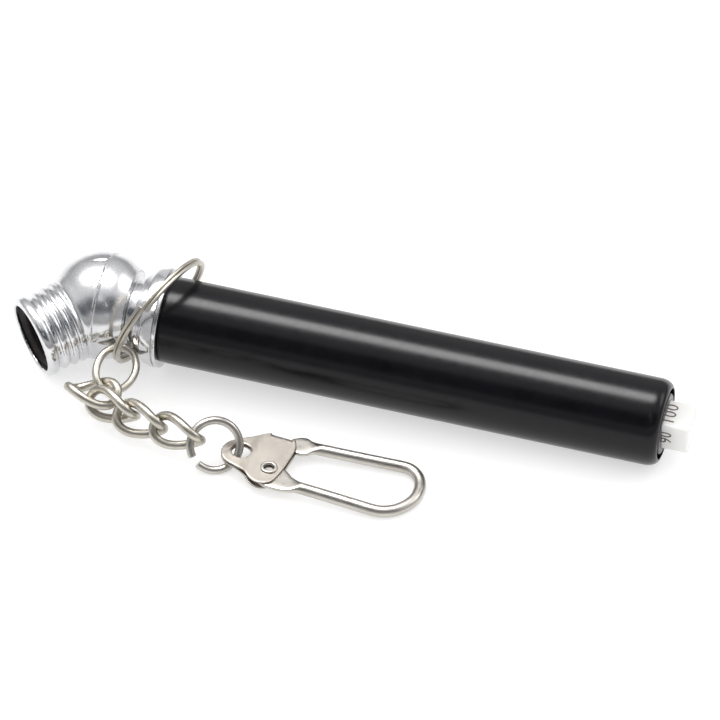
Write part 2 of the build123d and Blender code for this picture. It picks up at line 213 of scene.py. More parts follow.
def sweep(path, section, closed=False, up=None, dome=0.0):
    """section(k) or a fixed list of (n, b) points; ends are capped, and domed a little if asked."""
    tan, nor, bi = frames_along(path, closed, up)
    rings = []
    for k, p in enumerate(np.asarray(path, float)):
        sec = np.asarray(section(k) if callable(section) else section, float)
        rings.append(p + sec[:, :1] * nor[k] + sec[:, 1:] * bi[k])
    if not closed and dome:
        for end, sgn in ((0, -1), (-1, 1)):
            c = rings[end].mean(0)
            extra = [c + (rings[end] - c) * s + sgn * tan[end] * d * dome for s, d in ((0.92, 0.6), (0.75, 0.9), (0.4, 1.0))]
            rings = (extra[::-1] + rings) if end == 0 else (rings + extra)
    m = len(rings[0]); verts = np.vstack(rings); faces = []
    for k in range(len(rings) if closed else len(rings) - 1):
        q = (k + 1) % len(rings)
        for i in range(m):
            j = (i + 1) % m
            faces.append([k * m + i, k * m + j, q * m + j, q * m + i])
    if not closed:
        faces.append(list(range(m))[::-1]); faces.append([(len(rings) - 1) * m + i for i in range(m)])
    return verts, faces


def circle(r, n=24):
    a = np.arange(n) * 2 * math.pi / n
    return np.stack([r * np.cos(a), r * np.sin(a)], 1)


def superellipse(w, h, p, n=28):
    a = np.arange(n) * 2 * math.pi / n
    c, s = np.cos(a), np.sin(a)
    return np.stack([h * np.sign(s) * np.abs(s) ** (2 / p), w * np.sign(c) * np.abs(c) ** (2 / p)], 1)


def smooth_loop(points, n, closed=True):
    """Even Catmull-Rom line through the points."""
    p = np.asarray(points, float)
    m = len(p); out = []
    seg = m if closed else m - 1
    for k in range(seg):
        a, b, c, d = (p[(k + i - 1) % m] if closed else p[min(max(k + i - 1, 0), m - 1)] for i in range(4))
        for t in np.linspace(0, 1, 12, endpoint=False):
            out.append(0.5 * (2 * b + (c - a) * t + (2 * a - 5 * b + 4 * c - d) * t * t + (3 * b - a - 3 * c + d) * t ** 3))
    if not closed:
        out.append(p[-1])
    out = np.array(out)
    q = np.vstack([out, out[:1]]) if closed else out
    s = np.r_[0, np.cumsum(np.linalg.norm(np.diff(q, axis=0), axis=1))]
    t = np.linspace(0, s[-1], n + 1 if closed else n)
    t = t[:-1] if closed else t
    return np.stack([np.interp(t, s, q[:, i]) for i in range(q.shape[1])], 1)


def periodic_spline(points, n):
    """Smooth closed curve through evenly numbered points, by Fourier series."""
    p = np.asarray(points, float); m = len(p)
    f = np.fft.fft(p, axis=0) / m
    k = np.fft.fftfreq(m, 1 / m)
    t = np.arange(n) * 2 * math.pi / n
    return np.real(np.exp(1j * np.outer(t, k)) @ f)


# ------------------------------------------------------------------ materials
class Mat:
    """Small helper round one node tree."""

    def __init__(self, name):
        self.m = bpy.data.materials.new(name)
        self.m.use_nodes = True
        self.t = self.m.node_tree
        self.n, self.l = self.t.nodes, self.t.links
        self.b = self.n["Principled BSDF"]
        self.co = self.n.new("ShaderNodeTexCoord").outputs["Object"]

    def set(self, **kw):
        for k, v in kw.items():
            self.b.inputs[k.replace("_", " ")].default_value = v
        return self

    def noise(self, scale, detail=3.0, rough=0.5, stretch=None, distortion=0.0):
        co = self.co
        if stretch:
            mp = self.n.new("ShaderNodeMapping"); mp.inputs["Scale"].default_value = stretch
            self.l.new(co, mp.inputs["Vector"]); co = mp.outputs["Vector"]
        t = self.n.new("ShaderNodeTexNoise")
        t.inputs["Scale"].default_value, t.inputs["Detail"].default_value = scale, detail
        t.inputs["Roughness"].default_value, t.inputs["Distortion"].default_value = rough, distortion
        self.l.new(co, t.inputs["Vector"])
        return t.outputs["Fac"]

    def voronoi(self, scale, feature="F1"):
        t = self.n.new("ShaderNodeTexVoronoi"); t.feature = feature
        t.inputs["Scale"].default_value = scale
        self.l.new(self.co, t.inputs["Vector"])
        return t.outputs["Distance"]

    def remap(self, f, a, b, lo=0.3, hi=0.7):
        t = self.n.new("ShaderNodeMapRange")
        t.inputs["From Min"].default_value, t.inputs["From Max"].default_value = lo, hi
        t.inputs["To Min"].default_value, t.inputs["To Max"].default_value = a, b
        self.l.new(f, t.inputs["Value"])
        return t.outputs["Result"]

    def ramp(self, f, stops):
        t = self.n.new("ShaderNodeValToRGB")
        e = t.color_ramp.elements
        while len(e) < len(stops):
            e.new(0.5)
        for el, (p, c) in zip(e, stops):
            el.position, el.color = p, (*c, 1)
        self.l.new(f, t.inputs["Fac"])
        return t.outputs["Color"]

    def mul(self, a, b, op="MULTIPLY"):
        t = self.n.new("ShaderNodeMath"); t.operation = op
        for s, v in zip(t.inputs, (a, b)):
            if isinstance(v, (int, float)):
                s.default_value = v
            else:
                self.l.new(v, s)
        return t.outputs["Value"]

    def rough(self, f):
        self.l.new(f, self.b.inputs["Roughness"]); return self

    def colour(self, c):
        self.l.new(c, self.b.inputs["Base Color"]); return self

    def bump(self, *layers):
        """layers of (height, strength, distance in metres)"""
        last = None
        for f, st, dist in layers:
            t = self.n.new("ShaderNodeBump")
            t.inputs["Strength"].default_value, t.inputs["Distance"].default_value = st, dist
            self.l.new(f, t.inputs["Height"])
            if last is not None:
                self.l.new(last, t.inputs["Normal"])
            last = t.outputs["Normal"]
        self.l.new(last, self.b.inputs["Normal"])
        return self


def m_chrome():
    m = Mat("chrome_cast").set(Metallic=1.0)
    fog = m.noise(260, 4)
    m.colour(m.ramp(fog, [(0.3, (0.58, 0.583, 0.598)), (0.62, (0.69, 0.692, 0.703)), (0.9, (0.63, 0.63, 0.635))]))
    # the top of the casting is foggier than the sheltered underside
    xyz = m.n.new("ShaderNodeSeparateXYZ")
    m.l.new(m.co, xyz.inputs[0])
    m.rough(m.mul(m.remap(xyz.outputs["Z"], 0.04, 0.22, 0.0075, 0.0125), m.mul(m.noise(700, 5), 0.10), "ADD"))
    m.bump((m.noise(230, 2, 0.45), 0.5, 0.00008), (m.noise(1500, 3), 0.22, 0.00002), (m.voronoi(2600), 0.06, 0.00002))
    return m.m


def m_nickel():
    m = Mat("nickel_wire").set(Metallic=1.0)
    m.colour(m.ramp(m.noise(420, 4), [(0.25, (0.40, 0.375, 0.325)), (0.6, (0.53, 0.50, 0.44)), (0.95, (0.46, 0.43, 0.375))]))
    m.rough(m.remap(m.noise(1400, 5), 0.28, 0.40))
    m.bump((m.noise(700, 3), 0.3, 0.00003), (m.noise(5000, 2), 0.12, 0.00001))
    return m.m


def m_steel_wire():
    m = Mat("bright_wire").set(Metallic=1.0)
    m.colour(m.ramp(m.noise(350, 4), [(0.25, (0.41, 0.39, 0.35)), (0.6, (0.53, 0.505, 0.465)), (0.95, (0.46, 0.44, 0.40))]))
    m.rough(m.remap(m.noise(900, 5), 0.27, 0.40))
    m.bump((m.noise(260, 2), 0.25, 0.00004), (m.noise(2600, 3, 0.6, stretch=(0.25, 1, 1)), 0.12, 0.00001))
    return m.m


def m_sheet():
    m = Mat("satin_sheet").set(Metallic=1.0)
    m.colour(m.ramp(m.noise(300, 5, 0.6), [(0.28, (0.39, 0.355, 0.32)), (0.6, (0.47, 0.435, 0.39)), (0.92, (0.43, 0.395, 0.35))]))
    m.rough(m.remap(m.noise(1600, 6, 0.7), 0.30, 0.44))
    m.bump((m.noise(3800, 4, 0.7, stretch=(0.12, 1, 1)), 0.22, 0.000012), (m.noise(500, 2), 0.12, 0.00003))
    return m.m


def m_barrel():
    m = Mat("gloss_black").set(Specular_IOR_Level=0.25)
    m.colour(m.ramp(m.noise(420, 5), [(0.3, (0.0022, 0.0020, 0.0030)), (0.75, (0.0042, 0.0038, 0.0052))]))
    m.rough(m.remap(m.noise(900, 6, 0.7), 0.19, 0.27))
    m.bump((m.noise(300, 2), 0.05, 0.00004), (m.noise(2200, 2, 0.5), 0.025, 0.000006))
    return m.m


def m_bush():
    m = Mat("black_moulding").set(Specular_IOR_Level=0.5)
    m.colour(m.ramp(m.noise(600, 4), [(0.3, (0.010, 0.010, 0.011)), (0.8, (0.022, 0.021, 0.023))]))
    m.rough(m.remap(m.noise(2500, 5), 0.22, 0.42))
    m.bump((m.noise(3500, 4), 0.15, 0.00001))
    return m.m


def m_bar():
    m = Mat("white_moulding").set(Subsurface_Weight=0.35, Subsurface_Radius=(0.0016, 0.0014, 0.0011), Subsurface_Scale=1.0)
    m.colour(m.ramp(m.noise(240, 4), [(0.3, (0.68, 0.68, 0.665)), (0.75, (0.73, 0.73, 0.715))]))
    m.rough(m.remap(m.noise(1800, 5), 0.28, 0.45))
    m.bump((m.noise(900, 3), 0.08, 0.00002))
    return m.m


def m_ink():
    m = Mat("printed_ink")
    m.colour(m.ramp(m.noise(5200, 4, 0.65), [(0.3, (0.035, 0.016, 0.012)), (0.62, (0.10, 0.052, 0.04)), (0.85, (0.24, 0.16, 0.135))]))
    m.rough(m.remap(m.noise(3000, 3), 0.35, 0.6))
    m.bump((m.noise(6000, 2), 0.1, 0.000004))
    return m.m


def m_rubber(name="nitrile_rubber", tint=(0.0075, 0.0055, 0.0055)):
    m = Mat(name).set(Specular_IOR_Level=0.22)
    m.colour(m.ramp(m.noise(900, 5), [(0.3, tint), (0.8, tuple(c * 2.4 for c in tint))]))
    m.rough(m.remap(m.noise(1800, 5), 0.45, 0.72))
    m.bump((m.noise(2600, 4), 0.3, 0.00002), (m.noise(500, 2), 0.15, 0.00004))
    return m.m


def m_brass():
    m = Mat("turned_brass").set(Metallic=1.0)
    m.colour(m.ramp(m.noise(500, 4), [(0.3, (0.58, 0.42, 0.19)), (0.8, (0.75, 0.58, 0.30))]))
    m.rough(m.remap(m.noise(1400, 4), 0.2, 0.36))
    m.bump((m.noise(4000, 3, stretch=(1, 0.15, 1)), 0.15, 0.00001))
    return m.m


def m_spring():
    m = Mat("spring_steel").set(Metallic=1.0)
    m.colour(m.ramp(m.noise(700, 5), [(0.3, (0.33, 0.325, 0.32)), (0.8, (0.50, 0.49, 0.48))]))
    m.rough(m.remap(m.noise(1600, 4), 0.24, 0.42))
    m.bump((m.noise(4200, 3), 0.15, 0.00001))
    return m.m


def m_plastic():
    m = Mat("grey_moulding")
    m.colour(m.ramp(m.noise(500, 4), [(0.3, (0.30, 0.31, 0.30)), (0.8, (0.40, 0.41, 0.40))]))
    m.rough(m.remap(m.noise(1700, 4), 0.34, 0.5))
    m.bump((m.noise(2600, 4), 0.12, 0.00001))
    return m.m


def m_felt():
    m = Mat("felt").set(Sheen_Weight=0.4, Sheen_Roughness=0.5)
    m.colour(m.ramp(m.noise(2600, 6, 0.7), [(0.3, (0.13, 0.115, 0.095)), (0.8, (0.27, 0.25, 0.215))]))
    m.rough(m.remap(m.noise(3000, 4), 0.85, 1.0))
    m.bump((m.noise(5200, 6, 0.8), 0.8, 0.00006))
    return m.m


# dark, half-metallic lining for the eyelet's bore
def m_dark_lining():
    m = Mat("dark_bore").set(Metallic=0.6)
    m.colour(m.ramp(m.noise(1500, 4), [(0.3, (0.035, 0.028, 0.022)), (0.8, (0.09, 0.075, 0.06))]))
    m.rough(m.remap(m.noise(2500, 4), 0.5, 0.75))
    m.bump((m.noise(3500, 4), 0.2, 0.00001))
    return m.m


DARK_LINING = m_dark_lining()
CHROME, NICKEL, WIRE, SHEET = m_chrome(), m_nickel(), m_steel_wire(), m_sheet()
BLACK, BUSH, WHITE, INK = m_barrel(), m_bush(), m_bar(), m_ink()
RUBBER, BRASS, SPRING, PLASTIC, FELT = m_rubber(), m_brass(), m_spring(), m_plastic(), m_felt()

# inner pieces keep their CAD solids
for node, mat in (("chuck_seal", RUBBER), ("valve_pin", BRASS), ("spigot_oring", RUBBER), ("piston_cup", RUBBER), ("piston", PLASTIC),
                  ("spring", SPRING), ("spring_seat", SPRING), ("friction_pad", FELT)):
    NODES[node].data.materials.clear()
    NODES[node].data.materials.append(mat)


# ------------------------------------------------------------------ head: one smooth casting from a distance field
def smin(a, b, k):
    h = np.clip(0.5 + 0.5 * (b - a) / k, 0, 1)
    return b * (1 - h) + a * h - k * h * (1 - h)


def smax(a, b, k):
    return -smin(-a, -b, k)


def poly_distance(x, y, poly):
    d = np.full(x.shape, 1e9); inside = np.zeros(x.shape, bool)
    n = len(poly)
    for k in range(n):
        (ax, ay), (bx, by) = poly[k], poly[(k + 1) % n]
        ex, ey = bx - ax, by - ay
        wx, wy = x - ax, y - ay
        t = np.clip((wx * ex + wy * ey) / max(ex * ex + ey * ey, 1e-12), 0, 1)
        d = np.minimum(d, (wx - ex * t) ** 2 + (wy - ey * t) ** 2)
        c = (ay > y) != (by > y)
        if ey != 0:
            inside ^= c & (x < ex * (y - ay) / ey + ax)
    return np.where(inside, -1, 1) * np.sqrt(d)


def chaikin(p, times=2):
    p = [np.array(q, float) for q in p]
    for _ in range(times):
        out = [p[0]]
        for a, b in zip(p, p[1:]):
            out += [a * 0.75 + b * 0.25, a * 0.25 + b * 0.75]
        out.append(p[-1]); p = out
    return [tuple(q) for q in p]


RIDGES = chaikin([(3.0, 6.15), (4.2, 6.2), (4.9, 6.05), (5.15, 5.7), (5.4, 5.7), (5.65, 6.0), (6.15, 6.05), (6.4, 5.6), (6.7, 5.55),
                  (6.95, 5.95), (7.5, 5.98), (7.75, 5.5), (8.15, 5.45), (8.4, 5.85), (8.95, 5.88), (9.2, 5.45), (9.75, 5.4),
                  (10.0, 5.6), (10.15, 5.9), (10.45, 6.08), (11.1, 6.08), (11.5, 5.88), (11.66, 5.5), (11.66, 5.15)], 2)
CHUCK_OUTLINE = [(0.0, -0.5), (0.0, 6.1)] + RIDGES + [(11.66, -0.5)]
C_RIGHT = np.array([0.96, 0.28, 0.0]); C_TO = np.array([0.2064, -0.7078, 0.6756]); C_UP = np.cross(C_TO, C_RIGHT)
TO_CHUCK = np.linalg.inv(CHUCK_IN)


def ball_point(right, up):
    n = right * C_RIGHT + up * C_UP + math.sqrt(1 - right * right - up * up) * C_TO
    return np.linalg.inv(GAUGE)[:3, :3] @ n * BALL_R


EYE = ball_point(0.118, -0.671)


def head_distance(p):
    x, y, z = p[:, 0], p[:, 1], p[:, 2]
    rho = np.hypot(y, z)
    d = np.sqrt(x * x + rho * rho) - BALL_R
    d = smax(d, 0.618 * (x - 3.5) + 0.786 * (rho - 6.915), 0.25)     # eased towards the neck
    d = np.maximum(d, x - 4.6)
    # the mould's parting rib, faint, right round the ball
    d = smin(d, np.maximum(np.abs(x - RIB_X - 0.05 * np.sin(1.5 * np.arctan2(z, y))) - 0.11, rho - BALL_R - 0.06), 0.22)
    # neck
    d = smin(d, np.maximum(rho - 4.4, np.maximum(3.0 - x, x - 6.3)), 0.25)
    c = put(TO_CHUCK, p)
    t, r = c[:, 0], np.hypot(c[:, 1], c[:, 2])
    d = smin(d, poly_distance(t, r, CHUCK_OUTLINE), 0.55)
    # bore with a rolled lip
    d = smax(d, -np.maximum(r - 5.05, 4.4 - t), 0.22)
    d = np.maximum(d, -np.maximum(r - 2.5, 3.5 - t))
    # sprue mark on top
    a = math.radians(20)
    u, v = (x + 0.9) * math.cos(a) + (y - 1.0) * math.sin(a), -(x + 0.9) * math.sin(a) + (y - 1.0) * math.cos(a)
    cap = np.sqrt(np.maximum(np.abs(u) - 0.95, 0) ** 2 + v ** 2 + ((z - 7.72) * 1.2) ** 2) - 0.27
    d = smax(d, -cap, 0.08)
    # shallow eye-shaped flat where the mould halves met, low on the side
    q = p - EYE
    n = EYE / BALL_R
    h = q @ n
    s = q - np.outer(h, n)
    ex = np.cross([0, 0, 1.0], n); ex /= np.linalg.norm(ex); ey = np.cross(n, ex)
    d = smax(d, -(np.sqrt((s @ ex / 2.1) ** 2 + (s @ ey / 0.75) ** 2 + ((h - 0.15) / 0.42) ** 2) - 1.0) * 0.4, 0.06)
    # rubbed flat where it rests
    w = put(GAUGE, p)[:, 2]
    return np.maximum(d, 0.005 - w)


def surface(distance, lo, hi, h, rounds=4):
    """Surface nets over a grid, then every point is pulled on to the field's zero."""
    lo, hi = np.array(lo, float), np.array(hi, float)
    n = np.ceil((hi - lo) / h).astype(int) + 1
    ax = [lo[i] + h * np.arange(n[i]) for i in range(3)]
    grid = np.stack(np.meshgrid(*ax, indexing="ij"), -1).reshape(-1, 3)
    f = np.concatenate([distance(grid[i:i + 200000]) for i in range(0, len(grid), 200000)]).reshape(n)
    cells = n - 1
    tot, cnt = np.zeros((*cells, 3)), np.zeros(cells)
    quads = []
    for a in range(3):
        sl0 = [slice(None)] * 3; sl1 = [slice(None)] * 3
        sl0[a], sl1[a] = slice(0, -1), slice(1, None)
        fa, fb = f[tuple(sl0)], f[tuple(sl1)]
        idx = np.argwhere((fa < 0) != (fb < 0))
        va, vb = fa[tuple(idx.T)], fb[tuple(idx.T)]
        pos = idx.astype(float); pos[:, a] += va / (va - vb)
        u, v = [(1, 2), (2, 0), (0, 1)][a]
        cs = []
        for du, dv in ((0, 0), (1, 0), (1, 1), (0, 1)):
            c = idx.copy(); c[:, u] -= du; c[:, v] -= dv
            cs.append(c)
        ok = np.all([np.all((c >= 0) & (c < cells), axis=1) for c in cs], axis=0)
        for c in cs:
            np.add.at(tot, tuple(c[ok].T), pos[ok]); np.add.at(cnt, tuple(c[ok].T), 1)
        q = np.stack([np.ravel_multi_index(tuple(c[ok].T), tuple(cells)) for c in cs], 1)
        flip = va[ok] >= 0
        q[flip] = q[flip][:, ::-1]
        quads.append(q)
    used = cnt.ravel() > 0
    number = np.cumsum(used) - 1
    p = lo + h * (tot.reshape(-1, 3)[used] / cnt.ravel()[used][:, None])
    faces = number[np.vstack(quads)]
    e = 0.012
    for k in range(rounds + 1):
        g = np.stack([(distance(p + e * np.eye(3)[i]) - distance(p - e * np.eye(3)[i])) / (2 * e) for i in range(3)], 1)
        g2 = np.maximum((g * g).sum(1), 0.2)
        if k < rounds:
            step = np.clip(distance(p) / g2, -0.12, 0.12)
            p = p - g * step[:, None]
    return p, faces, g / np.sqrt(g2)[:, None]


step = 0.20
pts, quads, nrm = surface(head_distance, (-13.4, -13.4, -8.6), (6.1, 8.4, 8.4), step)
head = build("head_ball_chuck", put(GAUGE, pts), quads, CHROME, "gauge", "head_casting", normals=nrm @ GAUGE[:3, :3].T)


# collar with eight wrench flats, lip and spigot
def flats(x, a, r):
    if x < 7.0 or x > 9.25 or r < 6.9:
        return r
    k = (a + math.pi / 8) % (math.pi / 4) - math.pi / 8     # 0 at a corner
    flat = 6.86 / math.cos(math.pi / 8 - abs(k))
    return min(r, flat)


collar_line = fillet([(5.9, 4.35), (6.0, 5.3, 0.1), (6.1, 5.7), (6.25, 5.95), (6.6, 6.16), (6.8, 6.28), (7.0, 6.42), (7.2, 6.6), (7.4, 6.78), (7.6, 6.9),
                      (7.9, 6.98), (8.3, 7.08), (8.8, 7.24), (9.24, 7.25, 0.1),
                      (9.3, 6.85, 0.05), (9.42, 6.85, 0.05), (9.46, 7.15, 0.08), (9.9, 7.15, 0.14), (9.92, 6.1), (9.97, 5.45), (16.4, 5.45, 0.3),
                      (16.4, 3.6), (15.2, 3.6), (15.2, 1.0), (5.9, 1.0)], 5)
v, f = lathe(collar_line, 8 * 28, flats)
build("head_collar", put(GAUGE, v), f, CHROME, "gauge", (), sharp=24)

# rubber liner in the mouth
v, f = lathe(fillet([(6.4, 4.1, 0.1), (6.4, 5.0), (10.9, 5.0, 0.15), (11.0, 4.7, 0.2), (10.5, 4.12, 0.3)], 6), 128)
build("mouth_liner", put(CHUCK, v), f, RUBBER, "gauge", "chuck_liner")

# ------------------------------------------------------------------ barrel
roll = [(81.25 + 1.9 * math.sin(math.radians(a)), 5.13 + 1.12 * math.cos(math.radians(a))) for a in range(0, 91, 5)]
line = fillet([(9.98, 5.5), (9.98, 6.1, 0.1), (10.1, 6.25, 0.1)], 4) + [(x, 6.25) for x in np.linspace(11, 80, 47)] \
    + roll + [(83.05, 5.1), (82.85, 5.1), (82.1, 5.1), (82.1, 5.5)]
line = [q for k, q in enumerate(line) if k == 0 or math.dist(q, line[k - 1]) > 1e-4]
v, f = lathe(line, 224)
v = np.array(v)
build("barrel_skin", put(GAUGE, v), f, BLACK, "gauge", "barrel_tube", sharp=30)
NODES["end_bush"].data.materials.clear()
NODES["end_bush"].data.materials.append(BUSH)


# ------------------------------------------------------------------ indicator bar with its printed scale
def rounded_square(w, r, n=6):
    out = []
    for cx, cy, a0 in ((1, 1, 0), (-1, 1, 90), (-1, -1, 180), (1, -1, 270)):
        for k in range(n + 1):
            a = math.radians(a0 + 90 * k / n)
            out.append((cx * (w - r) + r * math.cos(a), cy * (w - r) + r * math.sin(a)))
    return np.array(out)


BAR = GAUGE @ turn("x", BAR_ROLL)
xs = np.r_[23.3, 23.4, np.linspace(25, 85, 31), 87.1, 87.3, 87.42, 87.5, 87.56, 87.59]
ws = np.interp(xs, [23.3, 23.4, 87.3, 87.42, 87.5, 87.56, 87.59], [2.4, 2.5, 2.5, 2.47, 2.42, 2.33, 2.2])
rings = []
xs = np.where(xs > 86, xs - 0.6, xs)
for x, w in zip(xs, ws):
    s = rounded_square(w, 0.28 * w / 2.5)
    rings.append(np.c_[np.full(len(s), x), s])
cap = [np.c_[np.full(len(s), 87.0), s] for s in (rounded_square(2.0, 0.2), rounded_square(1.0, 0.1))]
rings += cap
m = len(rings[0]); v = np.vstack(rings); f = []
for k in range(len(rings) - 1):
    for i in range(m):
        j = (i + 1) % m
        f.append([k * m + i, k * m + j, (k + 1) * m + j, (k + 1) * m + i])
f.append([(len(rings) - 1) * m + i for i in range(m)]); f.append(list(range(m))[::-1])
build("scale_bar", put(BAR, v), f, WHITE, "indicator_bar", "indicator_bar", sharp=50)


def print_on(name, text, centre_x, across, face, height=1.75):
    """Numerals read across the bar, their feet away from the barrel."""
    cu = bpy.data.curves.new(name, "FONT")
    cu.body, cu.align_x, cu.align_y, cu.resolution_u, cu.extrude = text, "CENTER", "CENTER", 6, 0.004
    cu.size, cu.space_character = 1.0, 1.1
    tmp = bpy.data.objects.new(name + "_tmp", cu)
    bpy.context.scene.collection.objects.link(tmp)
    dg = bpy.context.evaluated_depsgraph_get()
    me = bpy.data.meshes.new_from_object(tmp.evaluated_get(dg))
    co = np.array([q.co for q in me.vertices]); fs = [list(p.vertices) for p in me.polygons]
    bpy.data.objects.remove(tmp); bpy.data.meshes.remove(me); bpy.data.curves.remove(cu)
    c = (co.max(0) + co.min(0)) / 2
    co = (co - c); s = height / (co[:, 1].max() - co[:, 1].min())
    lx, ly, lz = co[:, 0] * s * 0.92, co[:, 1] * s, 2.5 + 0.006 + np.clip(co[:, 2], -1, 1) * 0
    lz = 2.503 + (co[:, 2] > 0) * 0.012
    if face == "top":
        v = np.c_[centre_x - ly, across + lx, lz]
    else:
        v = np.c_[centre_x - ly, -lz, across + lx]
    return v, fs


parts = [print_on("n1", "100", 83.75, 0.05, "top"), print_on("n2", "90", 83.7, 0.1, "front", 1.7)]
for k in range(1, 9):
    parts.append(print_on("t%d" % k, str(100 - 10 * k), 83.75 - 3.3 * k, 0.05, "top", 1.5))
for k in range(24):
    x = 81.6 - 1.1 * k
    for side in ("top", "front"):
        w = 1.6 if k % 3 else 2.1
        a, b = x - 0.06, x + 0.06
        lo, hi = (-w, w) if side == "front" else (-2.05, -2.05 + w * 0.5)
        if side == "top":
            q = np.array([(a, lo, 2.503), (b, lo, 2.503), (b, hi, 2.503), (a, hi, 2.503), (a, lo, 2.513), (b, lo, 2.513), (b, hi, 2.513), (a, hi, 2.513)])
        else:
            q = np.array([(a, -2.503, lo), (b, -2.503, lo), (b, -2.503, hi), (a, -2.503, hi), (a, -2.513, lo), (b, -2.513, lo), (b, -2.513, hi), (a, -2.513, hi)])
        parts.append((q, [[0, 3, 2, 1], [4, 5, 6, 7], [0, 1, 5, 4], [1, 2, 6, 5], [2, 3, 7, 6], [3, 0, 4, 7]]))
v, f = merge(*parts)
build("scale_print", put(BAR, v), f, INK, "indicator_bar", (), sharp=30)

# ------------------------------------------------------------------ split ring: two turns of flat wire
turns = np.linspace(0, 4 * math.pi, 400)
hx = np.c_[SPLIT_R * np.cos(turns + SPLIT_START), SPLIT_R * np.sin(turns + SPLIT_START), SPLIT_PITCH * (turns / math.pi / 2 - 1)]
v, f = sweep(hx, superellipse(SPLIT_T / 2, SPLIT_W / 2, 2.6, 28), up=(0, 0, 1))
build("split_ring_wire", put(seat("split"), v), f, NICKEL, "split_ring", "split_ring", sharp=40)


# ------------------------------------------------------------------ oval ring, curb links, open ring
def egg(n):
    t = np.arange(n) * 2 * math.pi / n
    return np.c_[RING_A * np.cos(t), RING_B * np.sin(t) * (1 + RING_EGG * np.cos(t)), 0 * t]


def curb(n):
    t = np.arange(24) * 2 * math.pi / 24
    c, s = np.cos(t), np.sin(t)
    x = CURB_A * np.sign(c) * np.abs(c) ** (2 / CURB_POWER)
    y = CURB_B * np.sign(s) * np.abs(s) ** (2 / CURB_POWER)
    a = CURB_TWIST * x / CURB_A
    return periodic_spline(np.c_[x, y * np.cos(a), y * np.sin(a)], n)


v, f = sweep(egg(200), circle(RING_WIRE, 28), closed=True)
build("oval_ring_wire", put(seat("ringA"), v), f, NICKEL, "jump_ring_oval", "jump_ring_oval", sharp=0)
for k in range(1, 5):
    path = curb(180)
    v, f = sweep(path, circle(CURB_WIRE, 28), closed=True)
    build("curb_wire_%d" % k, put(seat("l%d" % k), v), f, NICKEL, "curb_link_%d" % k, "curb_link_%d" % k, sharp=0)
g = math.radians(GAP_DEG)
t = GAP_AT + g / 2 + (2 * math.pi - g) * np.linspace(0, 1, 180)
path = np.c_[JUMP_R * np.cos(t), JUMP_R * np.sin(t), np.zeros(180)]
v, f = sweep(path, circle(JUMP_WIRE, 28), up=(0, 0, 1), dome=0.04)
build("open_ring_wire", put(seat("ringB"), v), f, WIRE, "jump_ring_open", "jump_ring_open", sharp=40)

# ------------------------------------------------------------------ snap clip
OUTLINE = smooth_loop([(-2.75, -0.6), (-2.6, 0.35), (-2.1, 1.3), (-0.8, 2.4), (0.8, 3.46), (2.5, 4.55), (3.05, 4.78), (4.5, 4.80), (5.95, 4.78),
                       (6.35, 4.62), (6.66, 4.18), (7.08, 2.7), (6.77, -1.34), (6.49, -2.95), (6.25, -3.95), (5.8, -4.65), (4.77, -5.2),
                       (3.71, -5.18), (2.71, -4.66), (1.62, -3.65), (0.07, -3.08), (-1.42, -2.62), (-2.35, -1.75)], 120)
OUTLINE = [tuple(q) for q in OUTLINE]


def leaf_height(x):
    s = np.clip((x - 0.3) / 2.0, 0, 1)
    return 0.27 + 0.26 * s * s * (3 - 2 * s)


def clip_distance(p):
    x, y, z = p[:, 0], p[:, 1], p[:, 2]
    flat = poly_distance(x, y, OUTLINE)
    flat = np.maximum(flat, -np.maximum(4.10 - y, np.abs(x - 4.5) - 1.6))
    flat = smax(flat, 1.42 - np.hypot(x, y), 0.05)
    flat = np.maximum(flat, 0.87 - np.hypot(x - 4.88, y + 2.01))
    h = leaf_height(x)
    d = smax(flat, np.abs(np.abs(z) - h) - 0.15, 0.16)
    fold = np.maximum(np.abs(np.hypot(y - 4.08, z) - 0.53) - 0.15, np.maximum(4.0 - y, np.abs(x - 4.5) - 1.6))
    return smin(d, fold, 0.05)


pts, quads, nrm = surface(clip_distance, (-3.2, -5.7, -1.0), (7.6, 5.3, 1.0), 0.11)
PL = seat("clip")
build("clip_leaves", put(PL, pts), quads, SHEET, "clip", "clip_plate", normals=nrm @ PL[:3, :3].T)

TO_Z = np.eye(4); TO_Z[:3, :3] = np.array([[0, 1, 0], [0, 0, 1], [1, 0, 0]], float)
eyelet = fillet([(-0.93, 0.66, 0.1), (-0.93, 1.08, 0.16), (-0.71, 1.24, 0.06), (-0.70, 0.85), (0.70, 0.85), (0.71, 1.24, 0.06), (0.93, 1.12, 0.2),
                 (0.93, 0.80, 0.12), (0.72, 0.66, 0.08), (0.6, 0.64), (-0.6, 0.6)], 6)
v, f = lathe(eyelet, 96)
RIVET_AT = PL @ shift(4.88, -2.01, 0) @ TO_Z
build("clip_eyelet", put(RIVET_AT, v), f, WIRE, "clip", "clip_rivet", sharp=40)
# dark lining with a closed floor, set just inside the eyelet's own bore wall
v, f = lathe(fillet([(-0.9, 0.0), (-0.9, 0.58, 0.05), (0.55, 0.645), (0.55, 0.60), (-0.5, 0.52, 0.2), (-0.62, 0.0)], 4), 64)
build("eyelet_bore", put(RIVET_AT, v), f, DARK_LINING, "clip", (), sharp=40)

